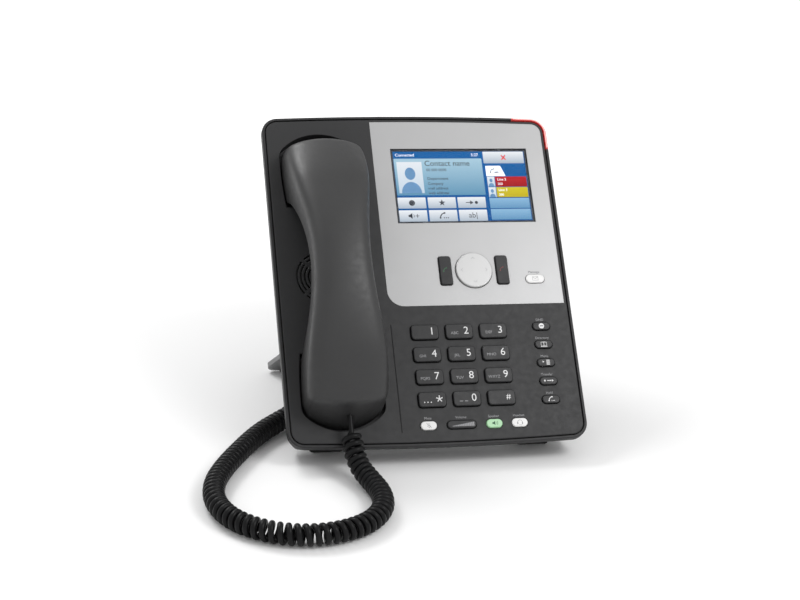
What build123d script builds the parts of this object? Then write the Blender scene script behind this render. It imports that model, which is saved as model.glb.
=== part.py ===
from build123d import *
import os
from math import asin, cos, degrees, radians, sin, sqrt, tan

os.makedirs("parts", exist_ok=True)

# The phone is drawn in the frame of its sloping face: x to the right, y up the face, z out of it,
# with the origin at the middle of the face's front edge.  place() then tilts it onto the table.

# Housing
tilt = 46
footprint_middle = 90.56      # from the face's front edge back to the middle of the footprint
front_edge_height = 15.1
half_width = 100
face_length = 236.1
crown_bottom = 2.4            # how far the ends of the front edge lie behind its middle
crown_top = 2.1
corner_radius = 11
rim_width = 1.8
groove_width = 0.7
rim_depth = 5                 # height of the upright band below the face
rim_rounding = 0.7
edge_rounding = 0.7           # of the front cover
housing_depth = 26
draft = 18                    # lean of the walls below the band
wall = 2.4
hump_low = 90                 # the deeper part of the back, from here up
hump_high = 220
hump_half_width = 80
hump_depth = 44

# Front cover and display panel
cover_thickness = 2.6
panel_thickness = 1.4
panel_left = -25.45
panel_bottom = 96.5
panel_inset = 4.4             # from the outer edge of the housing
panel_corner = 11
display_middle = (35.35, 183.8)
glass_size = (96.5, 55.3)
divider_groove = (0.5, 74, 0.35)   # width, length, depth

# Keys
key_gap = 0.35
key_travel = 1.0
stem_depth = cover_thickness + 0.1
rocker_depth = 3.3            # the rocker's flange has room to tip
rocker_axis = -3.6
flange_lip = 0.9
flange_thickness = 1.2
dial_middle = (19.95, 54.2)
dial_pitch = (23.35, 15.54)
dial_key = (18.4, 10.2)
side_column = 77.15
side_keys = (12.0, 5.5)
side_pitch = 12.85
side_top = 80.0
bottom_row = 13.5
nav_middle = (35.45, 121.1)
nav_radius = 12.5
call_key = (8.3, 20.5)
call_offset = 19.6

# Handset and cradle
handset_axis = -61.95
handset_low = 13.0
handset_high = 221.0
handset_half_width = 26.5
waist_half_width = 18.9
handset_middle = (handset_low + handset_high) / 2
handset_wall = 2.2
pocket_depth = 7.3
pocket_gap = 1.2
lower_pocket_end = 65.5
upper_pocket_end = 168.5
grille_middle = (-67.95, 118.3)

# Stand
stand_pivot = (102, -49)      # up the back and behind the face
stand_foot = 156              # behind the front edge, on the table
stand_half_width = 91.5
stand_neck_half_width = 66
stand_thickness = 3.5
knuckle_radius = 4.5
pin_radius = 1.5

# Cord
coil_diameter = 14.0
lead_diameter = 3.4
lead_end = 8.0                # where the coil starts, up the face
cord_height = 10.0            # of the lead and the coil's start above the face

table = Pos(0, -footprint_middle, front_edge_height)
place = table * Rot(tilt, 0, 0)


def write(name, shape, location=place):
    shape = location * shape
    shape.label = name
    export_step(shape, "parts/" + name + ".step")
    return shape


def on_face(x, y, z=0):
    """A point of the face frame, on the table."""
    back = y * cos(radians(tilt)) - z * sin(radians(tilt))
    up = y * sin(radians(tilt)) + z * cos(radians(tilt))
    return (x, back - footprint_middle, up + front_edge_height)


def on_table(x, back, up):
    """A point given from the face's front edge, up from the table."""
    return (x, back - footprint_middle, up)


def outline(inset=0.0):
    """The housing seen from the front: straight sides, front and rear edges slightly crowned."""
    half = half_width - inset
    ends = []
    for crown in (crown_bottom, crown_top):
        radius = (half_width ** 2 + crown ** 2) / (2 * crown)
        ends.append(radius - sqrt((radius - inset) ** 2 - half ** 2))
    front = ThreePointArc((-half, ends[0]), (0, inset), (half, ends[0]))
    right = Line(front @ 1, (half, face_length - ends[1]))
    rear = ThreePointArc(right @ 1, (0, face_length - inset), (-half, face_length - ends[1]))
    left = Line(rear @ 1, front @ 0)
    corners = make_face([front, right, rear, left]).vertices()
    return fillet(corners, max(corner_radius - inset, 1.5))


def layer(shape, top, bottom, taper=0):
    return Pos(0, 0, top) * extrude(shape, amount=top - bottom, dir=(0, 0, -1), taper=taper)


def leaning_layer(inset, top, bottom):
    """A slice of the housing whose walls lean in as they go back."""
    shift = (top - bottom) * tan(radians(draft))
    return loft([Pos(0, 0, bottom) * outline(inset + shift), Pos(0, 0, top) * outline(inset)])


def soften(solid, radius):
    """Rounds the outer edge of the top face."""
    top = solid.faces().sort_by(Axis.Z)[-1]
    return fillet(top.outer_wire().edges(), radius)


def block(low, high):
    size = [b - a for a, b in zip(low, high)]
    middle = [(a + b) / 2 for a, b in zip(low, high)]
    return Pos(*middle) * Box(*size)


# ---------------------------------------------------------------- handset outline, seen from above
def handset_plan(grow=0.0):
    """Two wide ends with round tips, joined by arcs that narrow to the waist."""
    half = handset_half_width
    end_radius = 34
    low = handset_low + 23
    high = handset_high - 23
    rise = (handset_middle - low) / 2
    step = (half - waist_half_width) / 2
    side_radius = (rise ** 2 + step ** 2) / (2 * step)
    lean = asin(rise / side_radius)
    across = half - step + grow * cos(lean)
    along = rise + grow * sin(lean)
    edges = []
    for side in (1, -1):
        wide = side * (half + grow)
        first = Line((wide, low - 30), (wide, low))
        start = TangentArc(first @ 1, (side * across, low + along), tangent=(0, 1))
        waist = TangentArc(start @ 1, (side * across, high - along), tangent=start % 1)
        stop = TangentArc(waist @ 1, (wide, high), tangent=waist % 1)
        edges += [first, start, waist, stop, Line(stop @ 1, (wide, high + 30))]
    edges.append(Line(edges[0] @ 0, edges[5] @ 0))
    edges.append(Line(edges[4] @ 1, edges[9] @ 1))
    shape = make_face(edges)
    for end, turn in ((handset_low, 1), (handset_high, -1)):
        beyond = Pos(0, end + turn * (20 - 50)) * Rectangle(100, 100)
        shape -= beyond - Pos(0, end + turn * end_radius) * Circle(end_radius + grow)
    widest = sorted((v for v in shape.vertices() if abs(v.X) > half + grow - 0.1), key=lambda v: v.Y)
    return Pos(handset_axis, 0) * fillet(widest[:2] + widest[-2:], 8 + grow)


def handset_profile(shrink=0.0):
    """The handset's side, drawn as y up the face and z out of it."""
    m = handset_middle
    under = 52                # half the length of the arch under the grip
    block_bottom = -7
    low = [(-m + handset_low + 1.5, block_bottom), (-under - 6, block_bottom), (-under, 6)]
    arch = ThreePointArc((-under, 6), (0, 30), (under, 6))
    foot = Polyline((-under, 6), low[1], low[0], (handset_low - m, 0), (24 - m, 25))
    head = Polyline((under, 6), (under + 6, block_bottom), (-low[0][0], block_bottom),
                    (m - handset_low, 0), (m - 24, 25))
    back = ThreePointArc((24 - m, 25), (0, 50), (m - 24, 25))
    shape = make_face([arch, foot, back, head])
    if shrink:
        shape = offset(shape, amount=-shrink)
    return shape


def handset_solid(shrink=0.0):
    side = Plane(origin=(handset_axis, handset_middle, 0), x_dir=(0, 1, 0), z_dir=(1, 0, 0))
    bar = extrude(side * handset_profile(shrink), amount=40, both=True)
    plan = Pos(0, 0, 60) * extrude(handset_plan(-shrink), amount=80, dir=(0, 0, -1))
    return bar & plan


# ---------------------------------------------------------------- key shapes
def key_cap(shape, rise, below=stem_depth, rounding=0.6):
    stem = Pos(0, 0, -below) * extrude(shape, amount=below + rise)
    stem = fillet(stem.faces().sort_by(Axis.Z)[-1].edges(), rounding)
    flange = layer(offset(shape, amount=flange_lip), -below, -below - flange_thickness)
    return stem + flange


dial_shape = RectangleRounded(*dial_key, 2.4)
oval_shape = SlotOverall(*side_keys)
message_shape = SlotOverall(12.8, 5.8)
white_shape = SlotOverall(10.6, 5.7)
volume_shape = SlotOverall(19.6, 5.4)
call_shape = RectangleRounded(*call_key, 1.6)
nav_shape = Circle(nav_radius)

keys = {}                     # name: (shape, place on the face, rise above it)
dial_names = ["1", "2", "3", "4", "5", "6", "7", "8", "9", "star", "0", "hash"]
for index, name in enumerate(dial_names):
    x = dial_middle[0] + (index % 3 - 1) * dial_pitch[0]
    y = dial_middle[1] + (1.5 - index // 3) * dial_pitch[1]
    keys["key_" + name] = (dial_shape, (x, y), 1.9)
side_names = ["silence_key", "directory_key", "menu_key", "transfer_key", "hold_key"]
for index, name in enumerate(side_names):
    keys[name] = (oval_shape, (side_column, side_top - index * side_pitch), 1.2)
keys["message_key"] = (message_shape, (side_column + 0.2, nav_middle[1] - 7), 1.2)
keys["mute_key"] = (white_shape, (-7.45, bottom_row), 1.2)
keys["volume_rocker"] = (volume_shape, (14.65, bottom_row), 1.2)
keys["speaker_key"] = (white_shape, (36.65, bottom_row), 1.2)
keys["headset_key"] = (white_shape, (53.75, bottom_row), 1.2)
keys["accept_key"] = (call_shape, (nav_middle[0] - call_offset, nav_middle[1]), 1.4)
keys["cancel_key"] = (call_shape, (nav_middle[0] + call_offset, nav_middle[1]), 1.4)
keys["nav_disc"] = (nav_shape, nav_middle, 1.6)

for name, (shape, spot, rise) in keys.items():
    below = rocker_depth if name == "volume_rocker" else stem_depth
    cap = key_cap(shape, rise, below)
    if name == "volume_rocker":
        cap += Pos(0, 0, rocker_axis) * Rot(90, 0, 0) * Cylinder(1.3, 5.2)
    write(name, Pos(*spot) * cap)

holes = Sketch()
for shape, spot, rise in keys.values():
    holes += Pos(*spot) * offset(shape, amount=key_gap)


# ---------------------------------------------------------------- front cover and display panel
cover_inset = rim_width + groove_width
panel_box = Pos(panel_left + 75, panel_bottom + 75) * RectangleRounded(150, 150, panel_corner)
panel_box += Pos(panel_left + 75, panel_bottom + 95) * Rectangle(150, 110)
panel_box += Pos(panel_left + 95, panel_bottom + 75) * Rectangle(110, 150)
panel_shape = outline(panel_inset) & panel_box
display_hole = Pos(*display_middle) * Rectangle(*glass_size)
panel = layer(panel_shape - display_hole - holes, 0, -panel_thickness)
write("display_panel", panel)

pockets = []
for low, high in ((handset_low - 5, lower_pocket_end), (upper_pocket_end, handset_high + 8)):
    area = Pos(handset_axis, (low + high) / 2) * Rectangle(80, high - low)
    pockets.append(area)


def pocket(area, grow, top, bottom):
    grown = offset(area, amount=grow) if grow else area
    return layer(handset_plan(pocket_gap + grow) & grown, top, bottom)


cover = soften(layer(outline(cover_inset), 0, -cover_thickness), edge_rounding)
cup_bottom = -pocket_depth - 1.8
for area in pockets:
    cover += pocket(area, 1.8, -cover_thickness / 2, cup_bottom)
for area in pockets:
    cover -= pocket(area, 0, 1, -pocket_depth)
cover -= layer(panel_shape, 1, -panel_thickness)
cover -= layer(Pos(*display_middle) * Rectangle(glass_size[0] - 3, glass_size[1] - 3), 1, -9)
cover -= layer(holes, 1, -9)

grille = Sketch()
for ring in range(6):
    radius = 17.0 - 2.6 * ring
    grille += Circle(radius + 0.6) - Circle(radius - 0.6)
for angle in (45, 135):
    grille -= Rot(0, 0, angle) * Rectangle(40, 2.2)
cover -= layer(Pos(*grille_middle) * grille, 1, -9)
groove_shape = Pos(panel_left - 0.1, 9.7 + divider_groove[1] / 2) * Rectangle(*divider_groove[:2])
cover -= layer(groove_shape, 1, -divider_groove[2])
hook_spot = (handset_axis, 184)
hook_shape = RectangleRounded(12, 6, 1.5)
cover -= layer(Pos(*hook_spot) * offset(hook_shape, amount=0.4), 1, -20)
write("front_cover", cover)

glass_shape = Pos(*display_middle) * Rectangle(glass_size[0] - 0.2, glass_size[1] - 0.2)
glass = layer(glass_shape, -0.05, -panel_thickness + 0.05)
write("touch_glass", glass)
lcd_low = -cover_thickness - 3.5
write("display_module", block((display_middle[0] - 51, display_middle[1] - 30, lcd_low),
                              (display_middle[0] + 51, display_middle[1] + 30, -cover_thickness - 0.1)))

# ---------------------------------------------------------------- rear housing, light bar, feet
body = soften(layer(outline(), 0, -rim_depth), rim_rounding)
body += leaning_layer(0, -rim_depth, -housing_depth)
hump_shape = RectangleRounded(2 * hump_half_width, hump_high - hump_low, 8)
hump_shape = Pos(0, (hump_low + hump_high) / 2) * hump_shape
hump = layer(hump_shape, -housing_depth + 3, -hump_depth, 8)
shell_outside = body + hump
ledge = rim_width + 2.6
shell = shell_outside - layer(outline(rim_width), 1, -cover_thickness)
shell -= layer(outline(ledge), 1, -rim_depth)
shell -= leaning_layer(ledge, -rim_depth, -housing_depth + wall)
shell -= layer(offset(hump_shape, amount=-wall - 0.4), -rim_depth - 1, -hump_depth + wall, 8)

light_area = Pos(75.85 + 50, 211.0 + 50) * Rectangle(100, 100)
light_shape = (outline() - outline(rim_width)) & light_area
light_bar = layer(light_shape, 1, -4) & shell
shell -= light_bar
write("light_bar", light_bar)

# Sockets on the underside of the hump, facing down the back
socket_middle = -(housing_depth + hump_depth) / 2 - 0.6
socket_depth = 15
socket_wall = 1.4


def socket(x, width, height, name):
    mouth = hump_low + 0.6
    outer = block((x - width / 2 - socket_wall, mouth, socket_middle - height / 2 - socket_wall),
                  (x + width / 2 + socket_wall, mouth + socket_depth, socket_middle + height / 2 + socket_wall))
    inner = block((x - width / 2, mouth - 5, socket_middle - height / 2),
                  (x + width / 2, mouth + socket_depth - 2, socket_middle + height / 2))
    return outer, inner


sockets = {"handset_socket": (-58, 7.9, 6.9), "headset_socket": (-38, 7.9, 6.9)}
sockets["network_socket"] = (44, 11.8, 8.2)
sockets["computer_socket"] = (24, 11.8, 8.2)
for name, (x, width, height) in sockets.items():
    outer, inner = socket(x, width, height, name)
    shell -= outer
    write(name, outer - inner)
power_x = -8
power_outer = block((power_x - 5, hump_low + 0.6, socket_middle - 5),
                    (power_x + 5, hump_low + 14, socket_middle + 5))
power_hole = Pos(power_x, hump_low + 5, socket_middle) * Rot(90, 0, 0) * Cylinder(3.1, 16)
shell -= power_outer
write("power_socket", power_outer - power_hole)

# Ears for the stand's pins
pivot = (0, *stand_pivot)
ear_low, ear_high = 44.4, 52
for side in (1, -1):
    middle = side * (ear_low + ear_high) / 2
    ear = Pos(middle, *stand_pivot) * Rot(0, 90, 0) * Cylinder(knuckle_radius, ear_high - ear_low)
    ear += block((middle - 3.8, stand_pivot[0] - knuckle_radius, stand_pivot[1]),
                 (middle + 3.8, stand_pivot[0] + knuckle_radius, -hump_depth + 0.5))
    shell += ear
pins = []
for side in (1, -1):
    pins.append(Pos(side * 42.5, *stand_pivot) * Rot(0, 90, 0) * Cylinder(pin_radius, 19))
for pin in pins:
    shell -= pin
mic_hole = Pos(58, 4, -13) * Rot(90, 0, 0) * Cylinder(0.9, 14)
shell -= mic_hole

screw_spots = [(x, y) for y in (11, 118, 224) for x in (-90, 90)]
screw_head = 1.9
screw_boss = 2.4
screws = []
boss_height = housing_depth - cover_thickness - wall
for x, y in screw_spots:
    boss = Pos(x, y, -(housing_depth - wall + cover_thickness) / 2) * Cylinder(screw_boss, boss_height)
    shell += boss & shell_outside
    head = Pos(x, y, -housing_depth + 1.2) * Cylinder(screw_head, 1.6)
    shaft = Pos(x, y, -housing_depth + 9) * Cylinder(1.2, 14)
    screw = head + shaft
    recess = Pos(x, y, -housing_depth - 1) * Cylinder(screw_head, 2.8)
    shell -= recess + shaft + head
    screws.append(screw)
whole_space = block((-150, -50, -housing_depth), (150, 300, 10))
write("rear_housing", shell & whole_space)
write("rear_hump", shell - whole_space)
write("housing_screws", Compound(children=screws))
write("stand_pins", Compound(children=pins))

shell_placed = place * shell_outside
feet = []
for x in (-70, 70):
    foot = block(on_table(x - 11, 26, 0), on_table(x + 11, 35, 14))
    foot = fillet(foot.edges().filter_by(Axis.Z), 3)
    feet.append(foot - shell_placed)
write("rubber_feet", Compound(children=feet), Pos(0, 0, 0))

# ---------------------------------------------------------------- inner parts of the base
board_top = -6.4
board = block((-22, 9, board_top - 1.6), (85.5, 228, board_top))
write("main_board", board)
mat = block((-18, 7, board_top), (85, 91, board_top + 1.2))
mat += block((8, 103, board_top), (85, 137, board_top + 1.2))
mat += block((60, 90, board_top), (85, 104, board_top + 1.2))
write("keypad_mat", mat)
speaker = Pos(*grille_middle, -cover_thickness - 0.1 - 2) * Cylinder(19.5, 4)
speaker += Pos(*grille_middle, -cover_thickness - 4.1 - 5) * Cylinder(11, 10)
write("loudspeaker", speaker)
write("hands_free_microphone", Pos(58, 10.7, -13) * Rot(90, 0, 0) * Cylinder(3, 3))
hook_floor = -pocket_depth - 1.8
hook_travel = 4.0
hook = layer(Pos(*hook_spot) * hook_shape, -pocket_depth + 0.1, hook_floor - hook_travel - 0.3)
hook_flange = layer(Pos(*hook_spot) * offset(hook_shape, amount=1.5), hook_floor - hook_travel - 0.3,
                    hook_floor - hook_travel - 1.5)
write("hook_plunger", hook + hook_flange)
switch_top = hook_floor - hook_travel - 1.7
write("hook_switch", block((hook_spot[0] - 7, hook_spot[1] - 5, switch_top - 7),
                           (hook_spot[0] + 7, hook_spot[1] + 5, switch_top)))

# ---------------------------------------------------------------- stand
pivot_point = Vector(*on_face(0, *stand_pivot))
foot_point = Vector(*on_table(0, stand_foot, 0))
leg = foot_point - pivot_point
leg_length = leg.length
leg_plane = Plane(origin=pivot_point, x_dir=(1, 0, 0), z_dir=leg.cross(Vector(1, 0, 0)) * -1)
plate_start = 8
plate_end = leg_length - 2.5
plate_shape = make_face(Polyline((-stand_neck_half_width, plate_start), (stand_neck_half_width, plate_start),
                                 (stand_half_width, plate_end), (-stand_half_width, plate_end), close=True))
plate_shape = fillet(plate_shape.vertices(), 5)
plate_shape -= Pos(0, plate_start + 26) * RectangleRounded(74, 28, 8)
for side in (1, -1):
    plate_shape += Pos(side * 37, plate_start / 2 + 1) * Rectangle(13, plate_start + 2)
stand = extrude(plate_shape, amount=stand_thickness / 2, both=True)
rib_shape = Pos(0, (plate_start + plate_end) / 2 + 16) * Rectangle(110, 2.4)
stand += extrude(rib_shape, amount=stand_thickness / 2 + 2.2, both=True)
for side in (1, -1):
    stand += Pos(side * 37.2, 0, 0) * Rot(0, 90, 0) * Cylinder(knuckle_radius, 13.6)
for side in (1, -1):
    stand -= Pos(side * 40, 0, 0) * Rot(0, 90, 0) * Cylinder(pin_radius + 0.05, 24)
stand_placed = leg_plane.location * stand
write("stand", stand_placed, Pos(0, 0, 0))
pads = []
for x in (-66, 66):
    pad = block(on_table(x - 14, stand_foot - 6, 0), on_table(x + 14, stand_foot + 1.5, 4))
    pad = fillet(pad.edges().filter_by(Axis.Z), 2)
    pads.append(pad - stand_placed)
write("stand_pads", Compound(children=pads), Pos(0, 0, 0))

# ---------------------------------------------------------------- handset
whole = handset_solid()
hollow = handset_solid(handset_wall)
split_arc = ThreePointArc((-130, 3.9 - 15), (0, 34), (130, 3.9 - 15))
side_plane = Plane(origin=(handset_axis, handset_middle, 0), x_dir=(0, 1, 0), z_dir=(1, 0, 0))
upper_region = make_face([split_arc, Polyline(split_arc @ 1, (130, 70), (-130, 70), split_arc @ 0)])
upper = extrude(side_plane * upper_region, amount=45, both=True)
walls = whole - hollow
handset_back = walls & upper
handset_front = walls - upper
ear_spot = (handset_axis, 197)
mouth_spot = (handset_axis, 37)
for spot in (ear_spot, mouth_spot):
    for ring in (3, 7):
        for step in range(6):
            turn = Rot(0, 0, 60 * step + 5 * ring)
            handset_front -= Pos(*spot, -6) * turn * Pos(ring, 0, 0) * Cylinder(0.9, 8)
cord_hole = Rot(90, 0, 0) * Cylinder(lead_diameter / 2 + 0.3, 14)
cord_hole = Pos(handset_axis + 1.2, handset_low + 6, cord_height) * cord_hole
handset_back -= cord_hole
handset_front -= cord_hole
handset_screws = []
for y in (56, 179):
    head = Pos(handset_axis, y, -6.3) * Cylinder(2.4, 1.0)
    shaft = Pos(handset_axis, y, -0.8) * Cylinder(1.2, 10)
    handset_screws.append(shaft + head)
    handset_front -= Pos(handset_axis, y, -6.5) * Cylinder(2.45, 1.4)
    handset_front -= Pos(handset_axis, y, 0) * Cylinder(1.25, 14)
write("handset_screws", Compound(children=handset_screws))
write("handset_back", handset_back)
write("handset_front", handset_front)
receiver = Pos(*ear_spot, 1.2) * Cylinder(14.5, 9)
write("receiver_capsule", receiver)
capsule = Pos(*mouth_spot, -1.5) * Cylinder(5, 5)
write("microphone_capsule", capsule)
write("handset_weight", block((handset_axis - 9, 170, 12), (handset_axis + 9, 190, 18)))
# ---------------------------------------------------------------- cord
lead_x = handset_axis + 1.2
lead_start = handset_low + 14
lead = Rot(90, 0, 0) * Cylinder(lead_diameter / 2, lead_start - lead_end)
lead = Pos(lead_x, (lead_start + lead_end) / 2, cord_height) * lead
write("handset_lead", lead)
write("handset_plug", block((lead_x - 3.8, lead_start, cord_height - 3.3),
                            (lead_x + 3.8, lead_start + 12, cord_height + 3.3)))

coil_route = [
    on_face(lead_x, lead_end, cord_height),
    on_face(lead_x, -3.5, cord_height),
    on_table(-57.3, -18.0, 10.6),
    on_table(-51.9, -30.5, 7.2),
    on_table(-48.9, -46.0, 7.0),
    on_table(-51.7, -65.0, 7.0),
    on_table(-65.0, -82.0, 7.0),
    on_table(-86.0, -91.6, 7.0),
    on_table(-108.5, -92.6, 7.0),
    on_table(-130.0, -84.6, 7.0),
    on_table(-146.5, -68.5, 7.0),
    on_table(-153.5, -47.0, 7.0),
    on_table(-151.1, -24.0, 7.0),
    on_table(-141.1, -2.0, 7.0),
    on_table(-127.1, 21.0, 7.0),
    on_table(-111.5, 44.0, 7.0),
    on_table(-94.0, 60.5, 7.6),
    on_table(-78.5, 68.5, 12.5),
]
base_route = [
    coil_route[-1],
    on_table(-69.2, 73.3, 15.44),
    on_table(-61.2, 74.2, 24.5),
    on_table(-58.2, 73.7, 37.0),
    on_face(-58, 76.5, socket_middle),
    on_face(-58, 87.5, socket_middle),
]


def tube(name, route, diameter):
    points = [Vector(*p) for p in route]
    radii = []
    for a, b, c in zip(points, points[1:], points[2:]):
        turn = (b - a).get_angle(c - b)
        radii.append(0.45 * min((b - a).length, (c - b).length) / tan(radians(turn) / 2))
    path = FilletPolyline(*route, radius=radii)
    section = Plane(origin=path @ 0, z_dir=path % 0) * Circle(diameter / 2)
    solid = sweep(section, path=path)
    area = 3.14159265 * diameter ** 2 / 4
    print(name, "length", round(path.length, 1), "radii", [round(r, 1) for r in radii])
    print(name, "volume / (section x length)", round(solid.volume / (area * path.length), 4))
    return solid


write("coil_cord", tube("coil_cord", coil_route, coil_diameter), Pos(0, 0, 0))
write("base_lead", tube("base_lead", base_route, lead_diameter), Pos(0, 0, 0))
write("base_plug", block((-58 - 3.8, 87.5, socket_middle - 3.3),
                         (-58 + 3.8, 87.5 + 12, socket_middle + 3.3)))
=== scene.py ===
import math
import bpy
import bmesh
from mathutils import Matrix, Vector


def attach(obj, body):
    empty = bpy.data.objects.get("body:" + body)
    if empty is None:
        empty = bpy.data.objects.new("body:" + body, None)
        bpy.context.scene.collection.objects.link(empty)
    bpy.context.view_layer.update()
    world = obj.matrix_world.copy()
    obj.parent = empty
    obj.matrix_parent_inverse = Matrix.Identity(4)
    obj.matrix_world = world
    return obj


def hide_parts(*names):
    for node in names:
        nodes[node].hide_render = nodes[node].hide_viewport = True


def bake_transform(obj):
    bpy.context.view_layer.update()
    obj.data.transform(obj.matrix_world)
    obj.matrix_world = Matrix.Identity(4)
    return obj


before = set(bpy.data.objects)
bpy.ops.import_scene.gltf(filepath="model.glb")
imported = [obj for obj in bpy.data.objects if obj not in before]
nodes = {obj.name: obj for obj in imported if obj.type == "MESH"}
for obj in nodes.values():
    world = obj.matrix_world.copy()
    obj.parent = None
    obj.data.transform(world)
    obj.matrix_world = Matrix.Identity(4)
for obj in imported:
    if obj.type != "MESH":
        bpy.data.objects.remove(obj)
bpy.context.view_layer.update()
scene = bpy.context.scene
scene.view_settings.view_transform = "Standard"

# The phone is drawn on its leaning face: x to the right, y up the face, z out of it.
faceLean = math.radians(46)
faceEdge = Vector((0, -0.09056, 0.0151))        # middle of the face's front edge
facePlace = Matrix.Translation(faceEdge) @ Matrix.Rotation(faceLean, 4, "X")
millimetre = 0.001


def onFace(x, y, up=0.0):
    return facePlace @ Vector((x, y, up))


def onTable(x, back, up):
    return Vector((x, back + faceEdge.y, up))


def lerp(a, b, t):
    return a + (b - a) * t


def smooth(t):
    t = min(max(t, 0.0), 1.0)
    return t * t * (3 - 2 * t)


# the camera stands in front, a little to the left and above
view = {
    "place": (-0.30975, -1.16680, 0.57432),
    "turn": (67.588, -4.009, -12.657),           # degrees
    "lens": 87.15, "sensor": 36,
}
cameraData = bpy.data.cameras.new("studio_camera")
cameraData.lens = view["lens"]
cameraData.sensor_width = view["sensor"]
camera = bpy.data.objects.new("studio_camera", cameraData)
camera.location = view["place"]
camera.rotation_euler = [math.radians(angle) for angle in view["turn"]]
scene.collection.objects.link(camera)
scene.camera = camera
print("camera ready")


# materials: each takes its colour, gloss and grain from one row of finishes
def newMaterial(name, color, rough, **sockets):
    material = bpy.data.materials.new(name)
    material.use_nodes = True
    shader = material.node_tree.nodes["Principled BSDF"]
    shader.inputs["Base Color"].default_value = (*color, 1)
    shader.inputs["Roughness"].default_value = rough
    for socket, value in sockets.items():
        shader.inputs[socket.replace("_", " ")].default_value = value
    return material, material.node_tree, shader


def mottle(tree, shader, color, change, size, detail=3):
    # a slow drift between two close colours
    place = tree.nodes.new("ShaderNodeTexCoord")
    noise = tree.nodes.new("ShaderNodeTexNoise")
    ramp = tree.nodes.new("ShaderNodeValToRGB")
    noise.inputs["Scale"].default_value = 1 / size
    noise.inputs["Detail"].default_value = detail
    ramp.color_ramp.elements[0].position = 0.3
    ramp.color_ramp.elements[1].position = 0.7
    ramp.color_ramp.elements[0].color = (*[c * (1 - change) for c in color], 1)
    ramp.color_ramp.elements[1].color = (*[min(c * (1 + change), 1) for c in color], 1)
    tree.links.new(place.outputs["Object"], noise.inputs["Vector"])
    tree.links.new(noise.outputs["Fac"], ramp.inputs["Fac"])
    tree.links.new(ramp.outputs["Color"], shader.inputs["Base Color"])
    return place


def roughen(tree, shader, place, low, high, size):
    noise = tree.nodes.new("ShaderNodeTexNoise")
    span = tree.nodes.new("ShaderNodeMapRange")
    noise.inputs["Scale"].default_value = 1 / size
    noise.inputs["Detail"].default_value = 5
    span.inputs["From Min"].default_value = 0.3
    span.inputs["From Max"].default_value = 0.7
    span.inputs["To Min"].default_value = low
    span.inputs["To Max"].default_value = high
    tree.links.new(place.outputs["Object"], noise.inputs["Vector"])
    tree.links.new(noise.outputs["Fac"], span.inputs["Value"])
    tree.links.new(span.outputs["Result"], shader.inputs["Roughness"])


def grain(tree, shader, place, size, depth, strength=1.0, edge=0.0):
    noise = tree.nodes.new("ShaderNodeTexNoise")
    bump = tree.nodes.new("ShaderNodeBump")
    noise.inputs["Scale"].default_value = 1 / size
    noise.inputs["Detail"].default_value = 2
    bump.inputs["Strength"].default_value = strength
    bump.inputs["Distance"].default_value = depth
    tree.links.new(place.outputs["Object"], noise.inputs["Vector"])
    tree.links.new(noise.outputs["Fac"], bump.inputs["Height"])
    tree.links.new(bump.outputs["Normal"], shader.inputs["Normal"])
    if edge:
        # soft light on the moulded edges
        bevel = tree.nodes.new("ShaderNodeBevel")
        bevel.samples = 4
        bevel.inputs["Radius"].default_value = edge
        tree.links.new(bevel.outputs["Normal"], bump.inputs["Normal"])


def moulded(name, finish, **sockets):
    # plastic with a fine eroded grain, slow drift in its shade and small changes of gloss
    low, high = finish["rough"]
    material, tree, shader = newMaterial(name, finish["color"], low, **sockets)
    place = mottle(tree, shader, finish["color"], finish.get("change", 0.08), finish.get("drift", 0.03))
    roughen(tree, shader, place, low, high, finish.get("patch", 0.004))
    grain(tree, shader, place, finish["grain"], finish["depth"], edge=finish.get("edge", 0.0))
    return material


finishes = {
    "housing": {"color": (0.024, 0.024, 0.025), "rough": (0.42, 0.54), "grain": 0.0004, "depth": 0.00005,
                "edge": 0.0007},
    "handset": {"color": (0.018, 0.018, 0.0185), "rough": (0.42, 0.52), "grain": 0.0004, "depth": 0.00004},
    "darkKey": {"color": (0.011, 0.011, 0.012), "rough": (0.34, 0.44), "grain": 0.0003, "depth": 0.00003,
                "edge": 0.0006},
    "whiteKey": {"color": (0.78, 0.775, 0.77), "rough": (0.35, 0.45), "grain": 0.0003, "depth": 0.00002,
                 "edge": 0.0005, "change": 0.03},
    "greenKey": {"color": (0.36, 0.58, 0.36), "rough": (0.35, 0.45), "grain": 0.0003, "depth": 0.00002,
                 "edge": 0.0005, "change": 0.04},
    "silver": {"color": (0.40, 0.40, 0.403), "rough": (0.36, 0.42), "grain": 0.00012, "depth": 0.00001,
               "edge": 0.0004, "change": 0.02, "patch": 0.0006},
    "disc": {"color": (0.46, 0.46, 0.46), "rough": (0.30, 0.36), "grain": 0.00012, "depth": 0.00001,
             "edge": 0.0007, "change": 0.02, "patch": 0.0006},
    "stand": {"color": (0.20, 0.20, 0.203), "rough": (0.42, 0.55), "grain": 0.0005, "depth": 0.00004,
              "edge": 0.0006},
    "rubber": {"color": (0.016, 0.016, 0.016), "rough": (0.65, 0.8), "grain": 0.0006, "depth": 0.00006},
    "fitting": {"color": (0.02, 0.02, 0.02), "rough": (0.45, 0.6), "grain": 0.0004, "depth": 0.00004},
    "socket": {"color": (0.012, 0.012, 0.013), "rough": (0.25, 0.35), "grain": 0.0005, "depth": 0.00002,
               "edge": 0.0003},
    "cord": {"color": (0.006, 0.006, 0.0065), "rough": (0.30, 0.40), "grain": 0.0006, "depth": 0.00002,
             "patch": 0.006},
    "board": {"color": (0.02, 0.13, 0.06), "rough": (0.3, 0.4), "grain": 0.0008, "depth": 0.00002},
}

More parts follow.
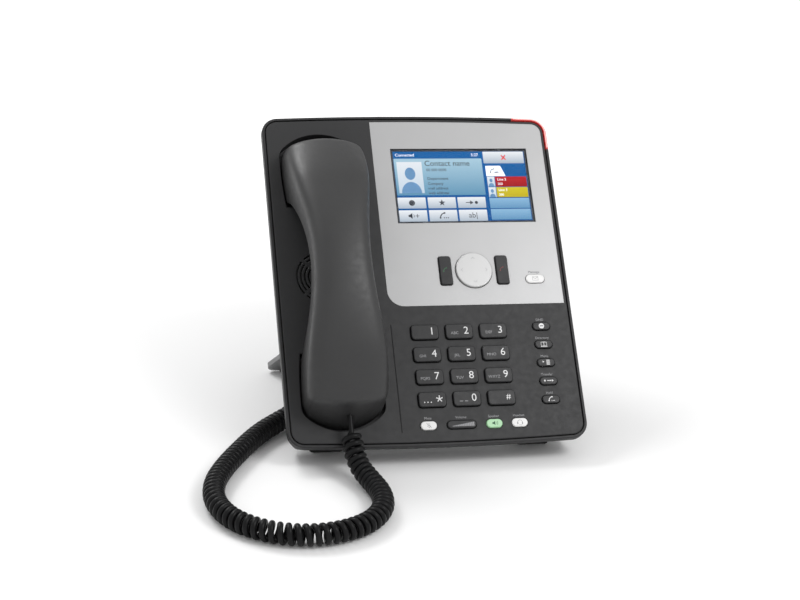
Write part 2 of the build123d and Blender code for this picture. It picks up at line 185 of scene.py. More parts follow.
housingPlastic = moulded("housing_plastic", finishes["housing"], Specular_IOR_Level=0.32)
handsetPlastic = moulded("handset_plastic", finishes["handset"], Specular_IOR_Level=0.6)
keyPlastic = moulded("dark_key_plastic", finishes["darkKey"], Specular_IOR_Level=0.36)
whitePlastic = moulded("white_key_plastic", finishes["whiteKey"])
greenPlastic = moulded("green_key_plastic", finishes["greenKey"], Emission_Color=(0.35, 0.75, 0.38, 1),
                       Emission_Strength=0.12)
silverPaint = moulded("silver_paint", finishes["silver"], Metallic=0.35)
discPaint = moulded("disc_paint", finishes["disc"], Metallic=0.25, Coat_Weight=0.3, Coat_Roughness=0.25)
standPlastic = moulded("stand_plastic", finishes["stand"])
softRubber = moulded("soft_rubber", finishes["rubber"])
darkFitting = moulded("dark_fitting", finishes["fitting"])
socketPlastic = moulded("socket_plastic", finishes["socket"])
cordPlastic = moulded("cord_plastic", finishes["cord"], Specular_IOR_Level=0.16)
boardResist = moulded("board_resist", finishes["board"], Coat_Weight=0.4)


def makeSteel():
    material, tree, shader = newMaterial("zinc_steel", (0.58, 0.58, 0.57), 0.35, Metallic=1.0)
    place = mottle(tree, shader, (0.56, 0.56, 0.55), 0.08, 0.002)
    roughen(tree, shader, place, 0.28, 0.42, 0.0006)
    return material


def makeGlass():
    material, tree, shader = newMaterial("screen_glass", (0.97, 0.98, 1.0), 0.02, Transmission_Weight=1.0,
                                         IOR=1.2)
    place = tree.nodes.new("ShaderNodeTexCoord")
    roughen(tree, shader, place, 0.015, 0.045, 0.012)
    return material


def makeLens(name, color, glow, strength):
    material, tree, shader = newMaterial(name, color, 0.3, Subsurface_Weight=0.3, Coat_Weight=0.6,
                                         Emission_Color=(*glow, 1), Emission_Strength=strength)
    shader.inputs["Subsurface Scale"].default_value = 0.002
    place = mottle(tree, shader, color, 0.10, 0.004)
    roughen(tree, shader, place, 0.22, 0.34, 0.003)
    return material


def makeClearPlug():
    material, tree, shader = newMaterial("clear_plug", (0.85, 0.86, 0.84), 0.12, Transmission_Weight=0.9,
                                         IOR=1.5)
    place = tree.nodes.new("ShaderNodeTexCoord")
    roughen(tree, shader, place, 0.08, 0.2, 0.002)
    return material


zincSteel = makeSteel()
screenGlass = makeGlass()
redLens = makeLens("red_lens", (0.42, 0.012, 0.010), (1.0, 0.05, 0.04), 0.16)
pinkCore = makeLens("lens_core", (0.80, 0.38, 0.36), (1.0, 0.55, 0.52), 0.35)
clearPlug = makeClearPlug()


def makeInk(name, color, glow=0.0, rough=0.5):
    # printed ink: nearly even, with a slight break-up
    material, tree, shader = newMaterial(name, color, rough, Emission_Color=(*color, 1),
                                         Emission_Strength=glow)
    place = mottle(tree, shader, color, 0.05, 0.0008)
    roughen(tree, shader, place, rough - 0.06, rough + 0.06, 0.001)
    return material


whiteInk = makeInk("white_ink", (0.74, 0.74, 0.74))
greyInk = makeInk("grey_ink", (0.30, 0.30, 0.31))
darkInk = makeInk("dark_ink", (0.09, 0.09, 0.10))
greenInk = makeInk("green_ink", (0.02, 0.10, 0.04))
redInk = makeInk("red_ink", (0.13, 0.02, 0.02))
goldPlate = newMaterial("gold_plate", (0.83, 0.62, 0.25), 0.25, Metallic=1.0)[0]
print("materials ready")

nodeFinish = {
    "display_panel": silverPaint, "nav_disc": discPaint, "stand": standPlastic, "light_bar": redLens,
    "touch_glass": screenGlass, "main_board": boardResist, "speaker_key": greenPlastic,
}
finishGroups = (
    (housingPlastic, ("front_cover", "rear_housing", "rear_hump")),
    (handsetPlastic, ("handset_back", "handset_front")),
    (whitePlastic, ("message_key", "mute_key", "headset_key")),
    (socketPlastic, ("handset_socket", "headset_socket", "network_socket", "computer_socket",
                     "power_socket")),
    (clearPlug, ("handset_plug", "base_plug")),
    (cordPlastic, ("coil_cord", "base_lead", "handset_lead")),
    (softRubber, ("rubber_feet", "stand_pads", "keypad_mat")),
    (zincSteel, ("housing_screws", "stand_pins", "handset_screws", "handset_weight")),
    (darkFitting, ("display_module", "loudspeaker", "receiver_capsule", "microphone_capsule",
                   "hands_free_microphone", "hook_switch", "hook_plunger")),
)
for finish, names in finishGroups:
    for name in names:
        nodeFinish[name] = finish
for name, node in nodes.items():
    finish = nodeFinish.get(name, keyPlastic)    # every other node is a dark key
    if not node.material_slots:
        node.data.materials.append(finish)
    for holder in node.material_slots:
        holder.material = finish


def finishPiece(name, mesh, body, materials=(), flat=False):
    piece = bpy.data.objects.new(name, mesh)
    scene.collection.objects.link(piece)
    for material in materials:
        mesh.materials.append(material)
    if flat:
        mesh.shade_flat()
    else:
        mesh.shade_smooth()
    if body:
        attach(piece, body)
    return piece


# the curly cord, from the handset's end round the front to the socket in the back
cord = {
    "wire": 0.0040, "lead": 0.0034, "outer": 0.0140,
    "turnSteps": 16,                             # control points in each turn of the helix
    "endTurns": 0.9,                             # turns over which the helix opens from the straight lead
    "closePitch": 0.00425, "frontPitch": 0.00530, "topPitch": 0.00460,
    "stretchTurns": 17,                          # turns that stretch when the handset is lifted
    "leadX": -0.06075, "leadUp": 0.0100,
    "leadStart": 0.0270, "leadEnd": 0.0105, "leadPoints": 4,
    "leadExit": 0.0175,                          # where the lead leaves the handset
    "blendStart": (-0.052, -0.062, 0.007), "blendEnd": 0.006,
    "socket": (-0.058, 0.0875, -0.0356),
}
coilRoute = [
    onFace(cord["leadX"], 0.0080, cord["leadUp"]),
    onFace(cord["leadX"], -0.0035, cord["leadUp"]),
    onTable(-0.0573, -0.0180, 0.0106),
    onTable(-0.0519, -0.0305, 0.0072),
    onTable(-0.0489, -0.0460, 0.0070),
    onTable(-0.0517, -0.0650, 0.0070),
    onTable(-0.0650, -0.0820, 0.0070),
    onTable(-0.0860, -0.0916, 0.0070),
    onTable(-0.1085, -0.0926, 0.0070),
    onTable(-0.1300, -0.0846, 0.0070),
    onTable(-0.1465, -0.0685, 0.0070),
    onTable(-0.1535, -0.0470, 0.0070),
    onTable(-0.1511, -0.0240, 0.0070),
    onTable(-0.1411, -0.0020, 0.0070),
    onTable(-0.1271, 0.0210, 0.0070),
    onTable(-0.1115, 0.0440, 0.0070),
    onTable(-0.0940, 0.0605, 0.0076),
    onTable(-0.0785, 0.0685, 0.0125),
]
baseRoute = [
    onTable(-0.0692, 0.0733, 0.01544),
    onTable(-0.0612, 0.0742, 0.0245),
    onTable(-0.0582, 0.0737, 0.0370),
    onFace(-0.058, 0.0765, -0.0356),
    onFace(*cord["socket"]),
]


def routeCurve(name, points, depth=0.0, radii=None, resolution=12):
    data = bpy.data.curves.new(name, "CURVE")
    data.dimensions = "3D"
    data.bevel_depth = depth
    data.bevel_resolution = 4
    data.use_fill_caps = True
    data.resolution_u = resolution
    spline = data.splines.new("NURBS")
    spline.points.add(len(points) - 1)
    for index, point in enumerate(points):
        spline.points[index].co = (*point, 1)
        spline.points[index].radius = radii[index] if radii else 1
    spline.order_u = 3
    spline.use_endpoint_u = True
    return data


def meshOf(data, name):
    holder = bpy.data.objects.new(name, data)
    mesh = bpy.data.meshes.new_from_object(holder)
    bpy.data.objects.remove(holder)
    mesh.name = name
    return mesh


def lineOf(points, resolution):
    mesh = meshOf(routeCurve("line", points, resolution=resolution), "line")
    line = [vertex.co.copy() for vertex in mesh.vertices]
    bpy.data.meshes.remove(mesh)
    return line


def lengthsAlong(line):
    total = [0.0]
    for a, b in zip(line, line[1:]):
        total.append(total[-1] + (b - a).length)
    return total


def pitchAt(share):
    # turns lie open where the cord rounds the front, and close along its sides
    front = math.exp(-((share - 0.40) / 0.15) ** 2)
    top = math.exp(-(share / 0.14) ** 2)
    close = cord["closePitch"]
    return close + (cord["frontPitch"] - close) * front + (cord["topPitch"] - close) * top


def helixAlong(line):
    along = lengthsAlong(line)
    total = along[-1]
    ahead = (line[1] - line[0]).normalized()
    side = ahead.orthogonal().normalized()
    sides = []
    for a, b in zip(line, line[1:]):
        ahead = (b - a).normalized()
        side = (side - ahead * side.dot(ahead)).normalized()
        sides.append(side)
    reach = (cord["outer"] - cord["wire"]) / 2 / math.cos(math.pi / cord["turnSteps"])
    turns = 0.0
    distance = 0.0
    marks = []
    while distance < total:
        marks.append((distance, turns))
        distance += pitchAt(distance / total) / cord["turnSteps"]
        turns += 1 / cord["turnSteps"]
    points = []
    index = 0
    for distance, turn in marks:
        while index < len(sides) - 1 and along[index + 1] < distance:
            index += 1
        step = (distance - along[index]) / (along[index + 1] - along[index])
        middle = line[index].lerp(line[index + 1], step)
        ahead = (line[index + 1] - line[index]).normalized()
        out = sides[index].lerp(sides[min(index + 1, len(sides) - 1)], step)
        out = (out - ahead * out.dot(ahead)).normalized()
        across = ahead.cross(out)
        radius = reach * smooth(min(turn, turns - turn) / cord["endTurns"])
        angle = turn * 2 * math.pi
        points.append(middle + (out * math.cos(angle) + across * math.sin(angle)) * radius)
    return points


def makeCord():
    coil = helixAlong(lineOf(coilRoute, 24))
    count = cord["leadPoints"]
    lead = []
    for step in range(count):
        along = lerp(cord["leadStart"], cord["leadEnd"], step / (count - 1))
        lead.append(onFace(cord["leadX"], along, cord["leadUp"]))
    points = lead + coil + baseRoute
    thin = cord["lead"] / cord["wire"]
    radii = [thin] * count + [1.0] * len(coil) + [thin] * len(baseRoute)
    for step in range(cord["turnSteps"]):
        radii[count + step] = lerp(thin, 1, step / cord["turnSteps"])
        radii[count - 1 + len(coil) - step] = lerp(thin, 1, step / cord["turnSteps"])
    cut = count + cord["stretchTurns"] * cord["turnSteps"]
    join = (points[cut - 1] + points[cut]) / 2
    pieces = []
    parts = (("cord_handset_end", points[:cut] + [join], radii[:cut] + [1.0]),
             ("cord_base_end", [join] + points[cut:], [1.0] + radii[cut:]))
    for name, route, thickness in parts:
        mesh = meshOf(routeCurve(name, route, cord["wire"] / 2, thickness, resolution=2), name)
        line = lineOf(route, 2)
        pieces.append((mesh, line))
        print(name, "length", round(lengthsAlong(line)[-1], 4), "faces", len(mesh.polygons))
    return pieces


(handsetEndMesh, handsetEndLine), (baseEndMesh, baseEndLine) = makeCord()
cordHandsetEnd = finishPiece("cord_handset_end", handsetEndMesh, None, [cordPlastic])
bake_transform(cordHandsetEnd)
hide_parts("handset_lead")
cordBaseEnd = finishPiece("cord_base_end", baseEndMesh, "base", [cordPlastic])
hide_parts("coil_cord", "base_lead")
print("cord ready")


# the handset: rows and columns of a block, placed by these tables and rounded by its modifier
handset = {
    "axis": -0.06195, "middle": 0.117,
    "half": 0.0264, "waist": 0.0188, "straightFrom": 0.081,
    "endRadius": 0.034, "endRadiusTop": 0.070, "cornerPull": 0.0018, "upperShort": 0.0030,
    "topMiddle": 0.050, "topRadius": 0.1855, "topEnd": 0.0935, "endZero": 0.104,
    "blockBottom": -0.0066, "archFoot": 0.006, "archTop": 0.030, "archHalf": 0.052,
    "across": (1.0, 0.92, 0.71, 0.36, 0.0),
    "drop": (0.0090, 0.0044, 0.0014, 0.0003, 0.0),
    "heights": (0.0, 0.05, 0.30, 0.56, 0.82, 1.0),
    "rowsTop": (0.0940, 0.0905, 0.0830, 0.0720, 0.0630, 0.0590, 0.0540, 0.0440, 0.0320, 0.0160, 0.0),
    "rowsBottom": (0.1030, 0.0985, 0.0900, 0.0760, 0.0620, 0.0575, 0.0520, 0.0440, 0.0320, 0.0160, 0.0),
    "levels": 3,
}


def handsetHalfWidth(along):
    full, waist, reach = handset["half"], handset["waist"], handset["straightFrom"]
    share = min(abs(along) / reach, 1)
    if share > 0.5:
        return full - 2 * (full - waist) * (1 - share) ** 2
    return waist + 2 * (full - waist) * share ** 2


def handsetTop(along):
    radius = handset["topRadius"]
    return handset["topMiddle"] - radius + math.sqrt(radius ** 2 - along ** 2)


def handsetUnder(along):
    half, foot, top = handset["archHalf"], handset["archFoot"], handset["archTop"]
    if abs(along) >= half + 0.003:
        return handset["blockBottom"]
    if abs(along) >= half:
        return foot
    rise = top - foot
    radius = (half ** 2 + rise ** 2) / (2 * rise)
    return top - radius + math.sqrt(radius ** 2 - along ** 2)


def makeHandset():
    columns, rows, heights = len(handset["across"]), len(handset["rowsTop"]), len(handset["heights"])
    bm = bmesh.new()
    bmesh.ops.create_cube(bm, size=2)
    cuts = {0: 2 * columns - 3, 1: 2 * rows - 3, 2: heights - 2}
    for axis, count in cuts.items():
        edges = []
        for edge in bm.edges:
            run = edge.verts[1].co - edge.verts[0].co
            if abs(run[axis]) > run.length * 0.99:
                edges.append(edge)
        bmesh.ops.subdivide_edges(bm, edges=edges, cuts=count, use_grid_fill=True)
    for vert in bm.verts:
        column = round((vert.co.x + 1) * (columns - 1))
        row = round((vert.co.y + 1) * (rows - 1))
        level = round((vert.co.z + 1) / 2 * (heights - 1))
        side = 1 if column > columns - 1 else -1
        column = min(column, 2 * (columns - 1) - column)
        end = 1 if row > rows - 1 else -1
        row = min(row, 2 * (rows - 1) - row)
        share = handset["heights"][level]
        alongTop, alongBottom = handset["rowsTop"][row], handset["rowsBottom"][row]
        top = handsetTop(alongTop) - handset["drop"][column]
        under = handsetUnder(alongBottom)
        along = lerp(alongBottom, alongTop, share)
        height = lerp(under, top, share)
        half = handsetHalfWidth(along)
        across = half * handset["across"][column]
        fade = smooth((along - 0.055) / 0.045)
        radius = lerp(handset["endRadius"], handset["endRadiusTop"], share)
        along -= fade * (radius - math.sqrt(radius ** 2 - across ** 2))
        if end > 0:
            along -= fade * share * handset["upperShort"]
        if row == 0 and column == 0:
            across -= handset["cornerPull"]
        vert.co = (handset["axis"] + side * across, handset["middle"] + end * along, height)
    bmesh.ops.recalc_face_normals(bm, faces=bm.faces)
    mesh = bpy.data.meshes.new("handset_shell")
    bm.to_mesh(mesh)
    bm.free()
    mesh.transform(facePlace)
    return mesh


handsetShell = finishPiece("handset_shell", makeHandset(), "handset", [handsetPlastic])
rounding = handsetShell.modifiers.new("rounding", "SUBSURF")
rounding.levels = handset["levels"]
rounding.render_levels = handset["levels"]
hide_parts("handset_back", "handset_front")
print("handset ready")


# printed marks: thin ink shapes on the keys, the cover and the screen
inkLow = -0.02 * millimetre
inkHigh = 0.03 * millimetre


class Print:
    # collects flat shapes in one mesh; sizes are millimetres on the face
    def __init__(self, name, up=0.0, low=inkLow, high=inkHigh):
        self.name = name
        self.low = up + low
        self.high = up + high
        self.bm = bmesh.new()
        self.uv = self.bm.loops.layers.uv.new("UVMap")

    def paint(self, before, index):
        self.bm.faces.ensure_lookup_table()
        for face in self.bm.faces[before:]:
            face.material_index = index

    def lift(self, face):
        made = bmesh.ops.extrude_face_region(self.bm, geom=[face])["geom"]
        for vert in made:
            if isinstance(vert, bmesh.types.BMVert):
                vert.co.z = self.high

    def shape(self, points, index=0):
        before = len(self.bm.faces)
        verts = [self.bm.verts.new((x * millimetre, y * millimetre, self.low)) for x, y in points]
        face = self.bm.faces.new(verts)
        face.normal_update()
        if face.normal.z > 0:
            face.normal_flip()
        self.lift(face)
        self.paint(before, index)

    def disc(self, x, y, radius, index=0, segments=32, squeeze=1.0):
        step = 2 * math.pi / segments
        self.shape([(x + radius * math.cos(i * step), y + radius * squeeze * math.sin(i * step))
                    for i in range(segments)], index)

    def plate(self, left, bottom, right, top, index=0, corner=0.0, steps=5):
        if not corner:
            self.shape([(left, bottom), (right, bottom), (right, top), (left, top)], index)
        else:
            points = []
            quarters = ((right - corner, top - corner, 0), (left + corner, top - corner, 90),
                        (left + corner, bottom + corner, 180), (right - corner, bottom + corner, 270))
            for x, y, start in quarters:
                for i in range(steps + 1):
                    angle = math.radians(start + 90 * i / steps)
                    points.append((x + corner * math.cos(angle), y + corner * math.sin(angle)))
            self.shape(points, index)
        self.bm.faces.ensure_lookup_table()
        for face in self.bm.faces:
            if face.material_index == index:
                for loop in face.loops:
                    x, y = loop.vert.co.x / millimetre, loop.vert.co.y / millimetre
                    if left - 0.01 <= x <= right + 0.01 and bottom - 0.01 <= y <= top + 0.01:
                        loop[self.uv].uv = ((x - left) / (right - left), (y - bottom) / (top - bottom))

    def add(self, mesh, index):
        before = len(self.bm.faces)
        self.bm.from_mesh(mesh)
        bpy.data.meshes.remove(mesh)
        self.paint(before, index)

    def line(self, points, width, index=0, closed=False):
        # a drawn stroke with round ends, pressed flat
        data = bpy.data.curves.new(self.name, "CURVE")
        data.dimensions = "3D"
        data.bevel_depth = width / 2 * millimetre
        data.bevel_resolution = 1
        data.use_fill_caps = True
        spline = data.splines.new("POLY")
        spline.points.add(len(points) - 1)
        for place, (x, y) in zip(spline.points, points):
            place.co = (x * millimetre, y * millimetre, 0, 1)
        spline.use_cyclic_u = closed
        mesh = meshOf(data, self.name)
        flatness = (self.high - self.low) / (width * millimetre)
        middle = (self.high + self.low) / 2
        mesh.transform(Matrix.Translation((0, 0, middle)) @ Matrix.Diagonal((1, 1, flatness, 1)))
        self.add(mesh, index)

    def arc(self, x, y, radius, start, stop, width, index=0, steps=12):
        angles = [math.radians(lerp(start, stop, i / steps)) for i in range(steps + 1)]
        self.line([(x + radius * math.cos(a), y + radius * math.sin(a)) for a in angles], width, index)

    def words(self, text, x, y, size, index=0, thin=0.0, align="CENTER"):
        data = bpy.data.curves.new(self.name, "FONT")
        data.body = text
        data.size = size * millimetre
        data.align_x = align
        data.align_y = "CENTER"
        data.offset = -thin * millimetre
        data.extrude = (self.high - self.low) / 2
        data.resolution_u = 3
        mesh = meshOf(data, self.name)
        mesh.transform(Matrix.Translation((x * millimetre, y * millimetre, (self.high + self.low) / 2)))
        self.add(mesh, index)

    def finish(self, body, slotName, materials):
        mesh = bpy.data.meshes.new(self.name)
        bmesh.ops.remove_doubles(self.bm, verts=self.bm.verts, dist=1e-7)
        self.bm.to_mesh(mesh)
        self.bm.free()
        mesh.transform(facePlace)
        return finishPiece(self.name, mesh, body, materials, flat=True)


# dark sound holes in the handset's inner side, over the earpiece and the microphone
soundHoles = {"spots": (37, 197), "rings": (3, 7), "each": 6, "radius": 0.9}


def makeSoundHoles():
    under = handset["blockBottom"]
    holes = Print("sound_holes", under)
    for spot in soundHoles["spots"]:
        for ring in soundHoles["rings"]:
            for step in range(soundHoles["each"]):
                angle = math.radians(360 / soundHoles["each"] * step + 5 * ring)
                x = handset["axis"] / millimetre + ring * math.cos(angle)
                holes.disc(x, spot + ring * math.sin(angle), soundHoles["radius"], 0, 16)
    holes.finish("handset", "dark_fittings", [darkFitting])


makeSoundHoles()

# the keypad's digits and letters
keypad = {
    "middle": (19.95, 54.2), "pitch": (23.35, 15.54), "rise": 1.9,
    "digitPlace": (4.7, 0.2), "digitSize": 7.2, "lettersPlace": (-3.2, -1.3), "lettersSize": 2.7,
    "hashSize": 0.75, "starArm": 2.3, "starStroke": 0.62,
}
dialMarks = [
    ("1", "1", ""), ("2", "2", "ABC"), ("3", "3", "DEF"),
    ("4", "4", "GHI"), ("5", "5", "JKL"), ("6", "6", "MNO"),
    ("7", "7", "PQRS"), ("8", "8", "TUV"), ("9", "9", "WXYZ"),
    ("star", "*", ""), ("0", "0", ""), ("hash", "#", ""),
]
for index, (name, digit, letters) in enumerate(dialMarks):
    x = keypad["middle"][0] + (index % 3 - 1) * keypad["pitch"][0]
    y = keypad["middle"][1] + (1.5 - index // 3) * keypad["pitch"][1]
    mark = Print("mark_key_" + name, keypad["rise"] * millimetre)
    markX, markY = x + keypad["digitPlace"][0], y + keypad["digitPlace"][1]
    if name == "star":
        for step in range(5):
            angle = math.radians(90 + 72 * step)
            arm = (markX + keypad["starArm"] * math.cos(angle), markY + keypad["starArm"] * math.sin(angle))
            mark.line([(markX, markY), arm], keypad["starStroke"], 0)
    else:
        size = keypad["digitSize"] * (keypad["hashSize"] if name == "hash" else 1)
        mark.words(digit, markX, markY, size, 0)
    if letters:
        across, up = keypad["lettersPlace"]
        mark.words(letters, x + across, y + up, keypad["lettersSize"], 1)
    if name == "star":
        for step in range(3):
            mark.disc(x - 5.4 + 2.2 * step, y - 2.0, 0.42, 0, 16)
    if name == "0":
        for step in range(2):
            mark.plate(x - 5.2 + 3.4 * step, y - 2.1, x - 3.0 + 3.4 * step, y - 1.65, 1)
    mark.finish("key_" + name, "dark_key", [whiteInk, greyInk])


def handsetIcon(mark, x, y, size, index):
    # a small telephone handset, drawn as an arc with two thicker ends
    s = size
    mark.line([(x - 1.7 * s, y - 1.3 * s), (x - 1.5 * s, y - 0.2 * s), (x - 0.7 * s, y + 0.9 * s),
               (x + 0.5 * s, y + 1.5 * s)], 0.55 * s, index)
    mark.disc(x - 1.7 * s, y - 1.2 * s, 0.5 * s, index, 12)
    mark.disc(x + 0.7 * s, y + 1.5 * s, 0.5 * s, index, 12)


# side keys, call keys, white keys and the rocker
controls = {
    "sideX": 77.15, "sideTop": 80.0, "sidePitch": 12.85, "rise": 1.2,
    "row": 13.5, "nav": (35.45, 121.1), "navRise": 1.6, "callOffset": 19.6, "callRise": 1.4,
}


def sideSpot(index):
    return controls["sideX"], controls["sideTop"] - index * controls["sidePitch"]


def makeSideMarks():
    rise = controls["rise"] * millimetre
    x, y = sideSpot(0)
    mark = Print("mark_silence_key", rise)
    mark.disc(x, y, 1.85, 0, 28)
    bar = Print("bar_silence_key", rise + inkHigh)
    bar.plate(x - 1.15, y - 0.32, x + 1.15, y + 0.32, 0)
    mark.finish("silence_key", "dark_key", [whiteInk])
    bar.finish("silence_key", "dark_key", [darkInk])
    x, y = sideSpot(1)
    mark = Print("mark_directory_key", rise)
    for side in (-1, 1):
        edge = x + side * 1.9
        mark.line([(x, y - 1.3), (edge, y - 1.5), (edge, y + 1.2), (x, y + 1.4)], 0.34, 0)
    mark.line([(x, y - 1.3), (x, y + 1.4)], 0.34, 0)
    mark.line([(x - 2.3, y - 1.9), (x + 2.3, y - 1.9)], 0.3, 0)
    mark.finish("directory_key", "dark_key", [whiteInk])
    x, y = sideSpot(2)
    mark = Print("mark_menu_key", rise)
    mark.shape([(x - 2.5, y + 1.1), (x - 2.5, y - 0.3), (x - 1.3, y + 0.4)], 0)
    for step in range(5):
        mark.plate(x + 0.1, y - 1.75 + 0.74 * step, x + 2.4, y - 1.35 + 0.74 * step, 0)
    mark.finish("menu_key", "dark_key", [whiteInk])
    x, y = sideSpot(3)
    mark = Print("mark_transfer_key", rise)
    mark.disc(x - 2.7, y, 0.6, 0, 16)
    mark.disc(x - 0.6, y, 0.42, 0, 14)
    mark.line([(x - 0.2, y), (x + 2.6, y)], 0.3, 0)
    mark.shape([(x + 2.2, y - 0.75), (x + 3.4, y), (x + 2.2, y + 0.75)], 0)
    mark.disc(x + 1.0, y, 0.42, 0, 14)
    mark.finish("transfer_key", "dark_key", [whiteInk])
    x, y = sideSpot(4)
    mark = Print("mark_hold_key", rise)
    handsetIcon(mark, x, y + 0.1, 0.95, 0)
    for step in range(3):
        mark.disc(x + 0.3 + 0.95 * step, y - 1.1, 0.26, 0, 12)
    mark.finish("hold_key", "dark_key", [whiteInk])


def makeLightKeyMarks():
    rise = controls["rise"] * millimetre
    x, y = 77.35, controls["nav"][1] - 7
    mark = Print("mark_message_key", rise)
    envelope = [(x - 1.9, y - 1.3), (x + 1.9, y - 1.3), (x + 1.9, y + 1.3), (x - 1.9, y + 1.3)]
    mark.line(envelope, 0.3, 0, True)
    mark.line([(x - 1.9, y + 1.3), (x, y - 0.2), (x + 1.9, y + 1.3)], 0.3, 0)
    mark.finish("message_key", "white_key", [greyInk])
    x, y = -7.45, controls["row"]
    mark = Print("mark_mute_key", rise)
    microphone = [(x - 0.55, y - 0.2), (x - 0.55, y + 1.1), (x + 0.55, y + 1.1), (x + 0.55, y - 0.2)]
    mark.line(microphone, 0.3, 0, True)
    mark.arc(x, y, 1.2, 190, 350, 0.28, 0)
    mark.line([(x, y - 1.2), (x, y - 1.9)], 0.28, 0)
    mark.line([(x - 1.6, y + 1.5), (x + 1.6, y - 1.7)], 0.3, 0)
    mark.finish("mute_key", "white_key", [greyInk])
    x = 36.65
    mark = Print("mark_speaker_key", rise)
    mark.shape([(x - 1.6, y - 0.6), (x - 0.7, y - 0.6), (x + 0.3, y - 1.4), (x + 0.3, y + 1.4),
                (x - 0.7, y + 0.6), (x - 1.6, y + 0.6)], 0)
    mark.arc(x + 0.4, y, 1.0, -50, 50, 0.26, 0)
    mark.arc(x + 0.4, y, 1.7, -50, 50, 0.26, 0)
    mark.finish("speaker_key", "lit_key", [greenInk])
    x = 53.75
    mark = Print("mark_headset_key", rise)
    mark.arc(x, y - 0.1, 1.6, -10, 190, 0.3, 0)
    for side in (-1, 1):
        mark.plate(x + side * 1.6 - 0.35, y - 1.3, x + side * 1.6 + 0.35, y + 0.1, 0)
    mark.arc(x + 0.4, y - 1.1, 0.9, 200, 350, 0.24, 0)
    mark.finish("headset_key", "white_key", [greyInk])
    x = 14.65
    mark = Print("mark_volume_rocker", rise)
    bars = 13
    for step in range(bars):
        share = (step + 1) / bars
        mark.plate(x - 6.4 + 1.14 * step, y - 1.3, x - 5.5 + 1.14 * step, y - 1.1 + 2.5 * share, 0)
    mark.finish("volume_rocker", "dark_key", [greyInk])


def makeCallMarks():
    navX, navY = controls["nav"]
    for side, name, ink in ((-1, "accept_key", greenInk), (1, "cancel_key", redInk)):
        mark = Print("mark_" + name, controls["callRise"] * millimetre)
        x = navX + side * controls["callOffset"]
        handsetIcon(mark, x, navY + 0.3, 0.9, 0)
        mark.finish(name, "dark_key", [ink])
    mark = Print("mark_nav_disc", controls["navRise"] * millimetre)
    for turn in range(4):
        angle = math.radians(90 * turn)
        points = []
        for across, out in ((-1.1, 7.9), (0.0, 9.0), (1.1, 7.9)):
            points.append((navX + out * math.cos(angle) - across * math.sin(angle),
                           navY + out * math.sin(angle) + across * math.cos(angle)))
        mark.line(points, 0.36, 0)
    mark.finish("nav_disc", "silver_disc", [greyInk])


def makeLabels():
    label = Print("cover_labels")
    for index, word in enumerate(("DND", "Directory", "Menu", "Transfer", "Hold")):
        x, y = sideSpot(index)
        label.words(word, x - 0.4, y + 4.7, 2.35, 0)
    for x, word in ((-7.45, "Mute"), (14.65, "Volume"), (36.65, "Speaker"), (53.75, "Headset")):
        label.words(word, x, controls["row"] + 5.1, 2.35, 0)
    label.finish("base", "housing_plastic", [greyInk])
    label = Print("panel_label")
    label.words("Message", 77.2, controls["nav"][1] - 1.9, 2.35, 0)
    label.finish("base", "silver_panel", [darkInk])


makeSideMarks()
makeLightKeyMarks()
makeCallMarks()
makeLabels()
print("marks ready")

# the screen's picture, on five thin layers under the glass
screen = {"middle": (35.35, 183.8), "size": (94.9, 53.7), "depth": -1.390, "layer": 0.0065, "border": 0.9}


def makeShade(name, low, high, glow=0.95):
    # a colour that runs from the foot of each plate to its top
    material, tree, shader = newMaterial(name, (0.01, 0.01, 0.012), 0.4, Emission_Strength=glow,
                                         Specular_IOR_Level=0.0)
    place = tree.nodes.new("ShaderNodeUVMap")
    place.uv_map = "UVMap"
    part = tree.nodes.new("ShaderNodeSeparateXYZ")
    ramp = tree.nodes.new("ShaderNodeValToRGB")
    ramp.color_ramp.elements[0].color = (*low, 1)
    ramp.color_ramp.elements[1].color = (*high, 1)
    tree.links.new(place.outputs["UV"], part.inputs["Vector"])
    tree.links.new(part.outputs["Y"], ramp.inputs["Fac"])
    tree.links.new(ramp.outputs["Color"], shader.inputs["Emission Color"])
    return material


screenColors = {
    "blue": ((0.004, 0.10, 0.34), (0.006, 0.13, 0.40)),
    "card": ((0.13, 0.33, 0.50), (0.44, 0.66, 0.78)),
    "button": ((0.46, 0.54, 0.62), (0.95, 0.97, 0.99)),
    "red": ((0.40, 0.005, 0.008), (0.58, 0.015, 0.02)),
    "yellow": ((0.60, 0.47, 0.005), (0.74, 0.62, 0.02)),
    "row": ((0.14, 0.34, 0.56), (0.30, 0.54, 0.76)),
    "photo": ((0.62, 0.74, 0.84), (0.88, 0.92, 0.95)),
}
screenMaterials = [makeShade("screen_" + name, *pair) for name, pair in screenColors.items()]
screenInks = {                                   # colour and glow
    "dark": ((0.02, 0.025, 0.035), 0.4), "white": ((0.9, 0.93, 0.97), 0.5),
    "cross": ((0.62, 0.01, 0.015), 0.5), "figure": ((0.10, 0.24, 0.42), 0.4),
}
screenMaterials += [makeInk("screen_" + name, *pair) for name, pair in screenInks.items()]
screenIndex = {name: index for index, name in enumerate([*screenColors, *screenInks])}


